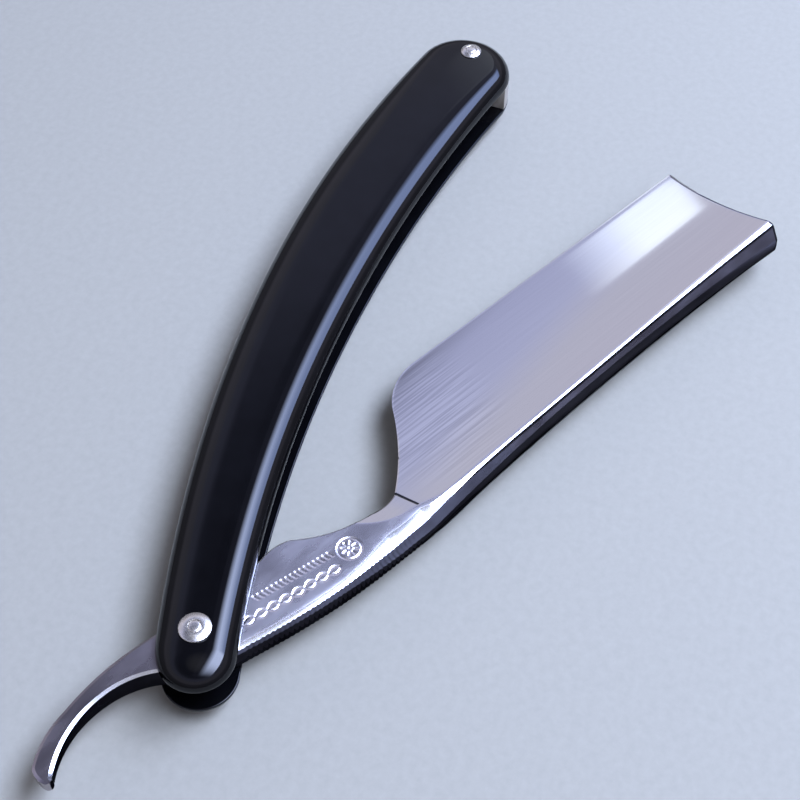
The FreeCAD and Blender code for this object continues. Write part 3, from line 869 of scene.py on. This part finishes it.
def blade_half(stamped):
    """One half of the blade as a grid: a line of points across it for each rung, from back to edge."""
    lows, highs = (np.vstack(parts) for parts in zip(tail_rungs(), shank_and_blade_rungs()))
    x = lows[:, 0]
    length = np.hypot(*(highs - lows).T)
    low_normal, high_normal = inward(lows, 1), inward(highs, -1)
    # Near the tail's tip the rungs are short, and all that lies along the outlines shrinks with them.
    room = np.minimum(length / 2.4, 1)
    narrowest = 0.42 * length

    # The inner line of the back's bevel: how far in it lies. On the blade it is the hone line.
    hone = hone_line(x) - HONE_INSET - lows[:, 1]
    weight = smooth_step(43.0, 48.0, x)
    inner = np.minimum(along(BEVEL_INNER, x) * (1 - weight) + hone * weight, narrowest)
    inner_point = lows + low_normal * inner[:, None]
    z_inner = face_half(*inner_point.T)

    # The outer line of that bevel. Past it the back rounds over, more steeply, to a ridge at mid-height.
    weight = smooth_step(41, 50, x)
    outer = along(BEVEL_OUTER, x) * (1 - weight) + (inner - along(FACET_WIDTH, x)) * weight
    slope = along(BEVEL_FALL, x) * room
    notch = notch_depth(x)
    outer = np.minimum(outer * room + notch, 0.9 * inner)
    z_outer = z_inner - slope * (inner - outer)
    # Below the bevel of the blade the back has a small step and a narrow band, and then the wall.
    step = 0.02 + 0.3 * smooth_step(44, 56, x)
    band = np.maximum(outer - step, 0.8 * outer)
    z_band = z_outer - 1.2 * (outer - band)
    back = np.minimum(along(BACK_INSET, x) + notch, 0.7 * outer)
    z_back = z_band - 0.7 * (band - back) - 0.02
    crease_blend = 0.02 * smooth_step(0, 6, x) * (1 - smooth_step(37, 42, x))

    def on_back(distance):
        point = lows + low_normal * distance[:, None]
        z = soft_min(face_half(*point.T), z_inner - slope * (inner - distance), crease_blend)
        return np.column_stack([point, z])

    def below(distance, z):
        return np.column_stack([lows + low_normal * distance[:, None], z])

    sections = [
        below(0.5 * notch, 0 * x),
        below(0.7 * notch + 0.3 * (back - notch), 0.55 * z_back),
        below(back, z_back),
        below(band, z_band),
        on_back(outer),
        on_back((outer + inner) / 2),
    ]

    # The face, then the chamfer along the cutting edge or the top edge of the shank.
    top = np.minimum(along(TOP_WIDTH, x), narrowest)
    top_point = highs + high_normal * top[:, None]
    span = np.hypot(*(top_point - inner_point).T)
    for share in np.linspace(0, 1, FACE_ROWS):
        point = inner_point + (top_point - inner_point) * share
        z = soft_min(face_half(*point.T), z_inner + slope * span * share, crease_blend)
        z = z - scribe_depth(highs[:, 0], point[:, 1])
        if stamped:
            z = z - stamp_depth(*point.T)
        sections.append(np.column_stack([point, z]))
    z_top = np.maximum(sections[-1][:, 2] - along(TOP_DROP, x) * room, 0.02)
    sections.append(np.column_stack([highs, z_top]))
    sections.append(np.column_stack([highs, 0 * x]))
    grid = shape_nose(np.stack(sections, 1))
    rung_x = np.concatenate([highs[:1, 0], highs[:, 0], highs[-1:, 0], highs[-1:, 0]])
    return grid, rung_x


def shape_nose(grid):
    """Moves the last rungs on to the nose's outline, chamfers the end and closes both ends."""
    nose = blade_outline("spine_toe", "toe", 0.1)
    shift = np.interp(grid[:, :, 1], nose[:, 1], nose[:, 0]) - NOSE_X
    grid[:, :, 0] += shift * smooth_step(110, NOSE_X, grid[:, :, 0])
    end = grid[-1].copy()
    end[:, 2] = np.maximum(end[:, 2] - NOSE_CHAMFER, 0.3 * end[:, 2])
    closing, tip = grid[-1].copy(), grid[0].copy()
    closing[:, 2] = tip[:, 2] = 0
    grid[-1, :, 0] -= NOSE_CHAMFER
    return np.concatenate([tip[None], grid, end[None], closing[None]])


def make_blade(materials):
    """The blade: an upper and a lower half in one closed mesh. Only the upper one is stamped."""
    upper, rung_x = blade_half(stamped=True)
    stations, rows, _ = upper.shape
    lower = blade_half(stamped=False)[0][:, 1:-1][:, ::-1]
    lower[:, :, 2] *= -1
    loop = np.concatenate([upper, lower], 1)
    count = loop.shape[1]
    vertices = loop.reshape(-1, 3)
    i, k = np.meshgrid(np.arange(stations - 1), np.arange(count), indexing="ij")
    near, far, next_k = i * count, (i + 1) * count, (k + 1) % count
    faces = np.stack([near + k, far + k, far + next_k, near + next_k], -1)
    mesh = bpy.data.meshes.new("blade_forged")
    mesh.from_pydata(vertices.tolist(), [], faces.reshape(-1, 4).tolist())
    row_of = np.tile(np.concatenate([np.arange(rows), np.arange(rows - 2, 0, -1)]), stations)
    paint_blade(mesh, row_of, rung_x, vertices)
    bm = bmesh.new()
    bm.from_mesh(mesh)
    bmesh.ops.remove_doubles(bm, verts=bm.verts, dist=1e-5)
    bmesh.ops.dissolve_degenerate(bm, edges=bm.edges, dist=1e-5)
    bmesh.ops.recalc_face_normals(bm, faces=bm.faces)
    bm.to_mesh(mesh)
    bm.free()
    mesh.transform(Matrix.Translation((0, 0, MID_HEIGHT)) @ Matrix.Rotation(-REST_ANGLE, 4, "Z"))
    return finish_piece("blade_forged", mesh, "blade", materials, "blade")


def paint_blade(mesh, row_of, rung_x, vertices):
    """Marks the sharp lines along the blade and gives each face its finish, with painted shade on the
    wall and the band under the bevel.
    """
    mesh.shade_smooth()
    ends = np.zeros(len(mesh.edges) * 2, int)
    mesh.edges.foreach_get("vertices", ends)
    ends = ends.reshape(-1, 2)
    first, last = row_of[ends[:, 0]], row_of[ends[:, 1]]
    top_line = BACK_ROWS + FACE_ROWS
    sharp_rows = np.array([BAND_ROW, BAND_ROW + 1, WALL_ROWS, BACK_ROWS, top_line - 1, top_line])
    sharp = (first == last) & np.isin(first, sharp_rows)
    middle_x = vertices[ends][:, :, 0].mean(1)
    soft = (middle_x > SOFT_CREASE[0]) & (middle_x < SOFT_CREASE[1])
    sharp &= ~((first == BACK_ROWS) & soft)
    attribute = mesh.attributes.new("sharp_edge", "BOOLEAN", "EDGE")
    attribute.data.foreach_set("value", sharp)

    corners = np.zeros(len(mesh.polygons) * 4, int)
    mesh.polygons.foreach_get("vertices", corners)
    corners = corners.reshape(-1, 4)
    row = row_of[corners].min(1)
    x, y = vertices[corners][:, :, 0].mean(1), vertices[corners][:, :, 1].mean(1)
    rung_x = rung_x[corners // (vertices.shape[0] // len(rung_x))].mean(1)
    slots = np.full(len(corners), FACE)
    slots[hollow_half(x, y) > flat_half(x)] = SATIN
    slots[x < TAIL_END_X] = TAIL
    slots[row < BACK_ROWS] = BEVEL
    slots[(row < BACK_ROWS) & (x > FACET_START_X)] = FACET
    # The wall and the band get near-black steels as painted shade.
    slots[row < WALL_ROWS] = WALL_PAINTED_SHADE
    slots[(row == BAND_ROW) & (x > BAND_START_X)] = BAND_PAINTED_SHADE
    slots[(scribe_depth(rung_x, y) > 0) & (row >= BACK_ROWS)] = TARNISH
    mesh.polygons.foreach_set("material_index", slots)


# ---------------------------------------------------------------- studio


def make_floor(material):
    """A plain floor that reaches far past the view."""
    bm = bmesh.new()
    bmesh.ops.create_grid(bm, x_segments=8, y_segments=8, size=FLOOR_HALF)
    mesh = bpy.data.meshes.new("studio_floor")
    bm.to_mesh(mesh)
    bm.free()
    mesh.materials.append(material)
    floor = bpy.data.objects.new("studio_floor", mesh)
    bpy.context.scene.collection.objects.link(floor)


def direction(azimuth, elevation):
    """A unit vector; azimuth is from +X towards +Y, both in degrees."""
    a, e = math.radians(azimuth), math.radians(elevation)
    return Vector((math.cos(a) * math.cos(e), math.sin(a) * math.cos(e), math.sin(e)))


def area_light(name, location, facing, width, height, roll=0.0):
    """A rectangular light and its nodes, with a radiance of 1. facing points away from its front."""
    light = bpy.data.lights.new(name, "AREA")
    light.shape = "RECTANGLE"
    light.size, light.size_y = width, height
    light.energy = width * height * math.pi
    light.use_nodes = True
    lamp = bpy.data.objects.new(name, light)
    lamp.location = location
    roll = Quaternion((0, 0, 1), math.radians(roll))
    lamp.rotation_euler = (facing.to_track_quat("Z", "Y") @ roll).to_euler()
    bpy.context.scene.collection.objects.link(lamp)
    return light.node_tree.nodes, light.node_tree.links


def split_place(nodes, links, output):
    """The X and Y of one of the Geometry node's outputs."""
    place = nodes.new("ShaderNodeNewGeometry")
    split = nodes.new("ShaderNodeSeparateXYZ")
    links.new(place.outputs[output], split.inputs["Vector"])
    return split.outputs["X"], split.outputs["Y"]


def overhead_softbox():
    """A long softbox overhead, on the mouth's side. It fades out at both ends and on its inner side."""
    low_x, high_x, low_y, high_y = (share * SOFTBOX_HEIGHT for share in SOFTBOX_SIDES)
    middle = ((low_x + high_x) / 2, (low_y + high_y) / 2, SOFTBOX_HEIGHT)
    nodes, links = area_light("softbox", middle, Vector((0, 0, 1)), high_x - low_x, high_y - low_y)
    x, y = split_place(nodes, links, "Position")
    ramp = add_ramp(nodes, links, add_range(nodes, links, x, 0, 1, low_x, high_x), SOFTBOX_COLOURS)
    ramp.color_ramp.interpolation = "EASE"
    fade_start, fade_end = (share * SOFTBOX_HEIGHT for share in SOFTBOX_FADE)
    dim = nodes.new("ShaderNodeVectorMath")
    dim.operation = "SCALE"
    links.new(ramp.outputs["Color"], dim.inputs[0])
    links.new(add_range(nodes, links, y, 1, 0, fade_start, fade_end), dim.inputs["Scale"])
    bright = nodes.new("ShaderNodeVectorMath")
    bright.operation = "MULTIPLY_ADD"
    links.new(dim.outputs["Vector"], bright.inputs[0])
    bright.inputs[1].default_value = [SOFTBOX_PEAK] * 3
    bright.inputs[2].default_value = OVERHEAD
    links.new(bright.outputs["Vector"], nodes["Emission"].inputs["Color"])


def toe_window():
    """A small window-like light beyond the toe. It fades out on one side."""
    away = direction(*WINDOW_AIM)
    place = Vector(WINDOW_TARGET) + WINDOW_DISTANCE * away
    nodes, links = area_light("window", place, away, *WINDOW_SIZE, roll=WINDOW_ROLL)
    across, _ = split_place(nodes, links, "Parametric")
    emission = nodes["Emission"]
    links.new(add_range(nodes, links, across, 1, 0, *WINDOW_FADE), emission.inputs["Strength"])
    emission.inputs["Color"].default_value = (*WINDOW_COLOUR, 1)


def make_world():
    """A soft studio surround: brightest half-way up, bluer above, and dim overhead."""
    world = bpy.data.worlds.new("studio")
    bpy.context.scene.world = world
    world.use_nodes = True
    nodes, links = world.node_tree.nodes, world.node_tree.links
    place = nodes.new("ShaderNodeTexCoord")
    split = nodes.new("ShaderNodeSeparateXYZ")
    links.new(place.outputs["Generated"], split.inputs["Vector"])
    ramp = add_ramp(nodes, links, split.outputs["Z"], SKY)
    links.new(ramp.outputs["Color"], nodes["Background"].inputs["Color"])


def make_camera():
    """The camera, level, looking down at the razor from the pivot's end."""
    data = bpy.data.cameras.new("camera")
    data.sensor_width, data.lens = SENSOR_WIDTH, CAMERA_LENS
    data.clip_start = 0.01
    camera = bpy.data.objects.new("camera", data)
    forward = Vector(CAMERA_FORWARD).normalized()
    right = Vector(CAMERA_RIGHT).normalized()
    up = right.cross(forward)
    turn = Matrix((right, up, -forward)).transposed().to_4x4()
    camera.matrix_world = Matrix.Translation(Vector(CAMERA_PLACE) * MM) @ turn
    bpy.context.scene.collection.objects.link(camera)
    bpy.context.scene.camera = camera
    bpy.context.scene.view_settings.view_transform = "Standard"


def make_studio():
    """Everything around the razor: the camera, the floor, the surround and the two lights."""
    make_camera()
    make_floor(floor_paper())
    make_world()
    overhead_softbox()
    toe_window()


# ---------------------------------------------------------------- the razor


def make_razor():
    """The razor's pieces, each in place of its CAD node."""
    black = acrylic()
    metal = nickel_silver()
    make_scale("front_scale", 1, black)
    make_scale("back_scale", -1, black)
    make_wedge(ivory())
    make_pin("pivot_pin", 0.0, metal)
    make_pin("wedge_pin", PIN_SPAN, metal)
    make_collars(metal)
    make_tang_washers(brass())
    make_blade([worn_steel()] + [steel(*STEELS[slot]) for slot in sorted(STEELS)])


make_studio()
make_razor()
